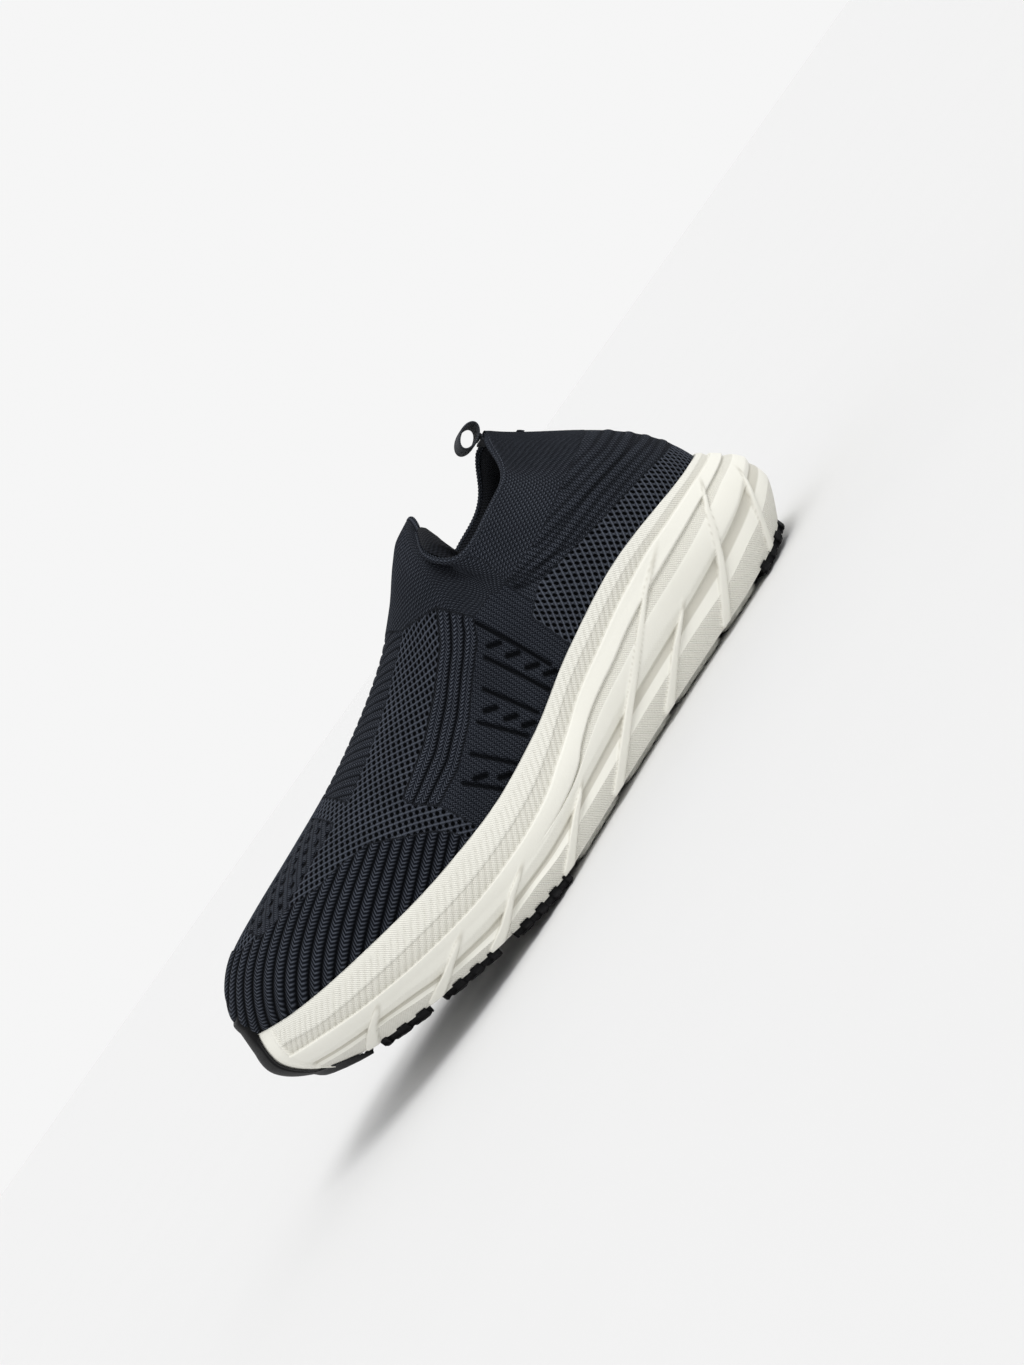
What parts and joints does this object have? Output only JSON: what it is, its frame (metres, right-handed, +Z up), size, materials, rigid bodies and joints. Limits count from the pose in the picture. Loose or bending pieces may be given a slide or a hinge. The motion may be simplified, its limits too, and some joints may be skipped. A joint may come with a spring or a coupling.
{
  "type": "running shoe",
  "caption": "Slip-on running shoe with a knitted upper, a tall one-piece foam midsole, separate outsole pods and a webbing pull loop at the heel.",
  "frame": {"origin": "centre of the shoe's length and width, on the ground plane under the outsole", "axes": "+X from heel to toe, +Y to the outer (lateral) side of the left foot, +Z up"},
  "size_m": [0.2979, 0.1108, 0.1259],
  "materials": {
    "foam": "matte off-white moulded EVA foam",
    "rubber_black": "matte black outsole rubber",
    "rubber_white": "matte off-white outsole rubber",
    "knit": "dark navy and charcoal engineered knit",
    "lining": "near-black warp-knit lining",
    "stiffener": "thin thermoformed stiffener sheet",
    "pad_foam": "soft open-cell collar foam",
    "sockliner_foam": "dark moulded foam",
    "sockliner_cloth": "near-black brushed textile",
    "board": "dark grey non-woven board",
    "thread": "dark polyester thread",
    "webbing": "black woven webbing"
  },
  "bodies": {
    "root": {"collar_foam_inner": "pad_foam", "collar_foam_outer": "pad_foam", "forefoot_pod_1_inner": "rubber_black", "forefoot_pod_1_outer": "rubber_black", "forefoot_pod_2_inner": "rubber_black", "forefoot_pod_2_outer": "rubber_black", "forefoot_pod_3_inner": "rubber_black", "forefoot_pod_3_outer": "rubber_black", "heel_bartack": "thread", "heel_counter": "stiffener", "heel_rubber_inner": "rubber_black", "heel_rubber_outer": "rubber_black", "knit_upper": "knit", "midfoot_pod_1_inner": "rubber_white", "midfoot_pod_1_outer": "rubber_white", "midfoot_pod_2_inner": "rubber_white", "midfoot_pod_2_outer": "rubber_white", "midfoot_pod_3_inner": "rubber_white", "midfoot_pod_3_outer": "rubber_white", "midfoot_pod_4_inner": "rubber_white", "midfoot_pod_4_outer": "rubber_white", "midsole": "foam", "pull_tab_tail": "webbing", "quarter_lining": "lining", "strobel_board": "board", "strobel_seam": "thread", "toe_puff": "stiffener", "toe_rubber": "rubber_black", "vamp_lining": "lining"},
    "pull_tab": {"pull_tab": "webbing"},
    "sockliner": {"sockliner_foam": "sockliner_foam", "sockliner_cover": "sockliner_cloth"}
  },
  "joints": [
    {"name": "pull_tab_flip", "type": "hinge", "parent": "root", "child": "pull_tab", "pos_m": [-0.0929, -0.00024, 0.1193], "axis": [0, -1, 0], "range_deg": [-20, 42]},
    {"name": "sockliner_lift", "type": "hinge", "parent": "root", "child": "sockliner", "pos_m": [0.135, -0.00924, 0.044], "axis": [0, 1, 0], "range_deg": [0, 2.5]}
  ]
}
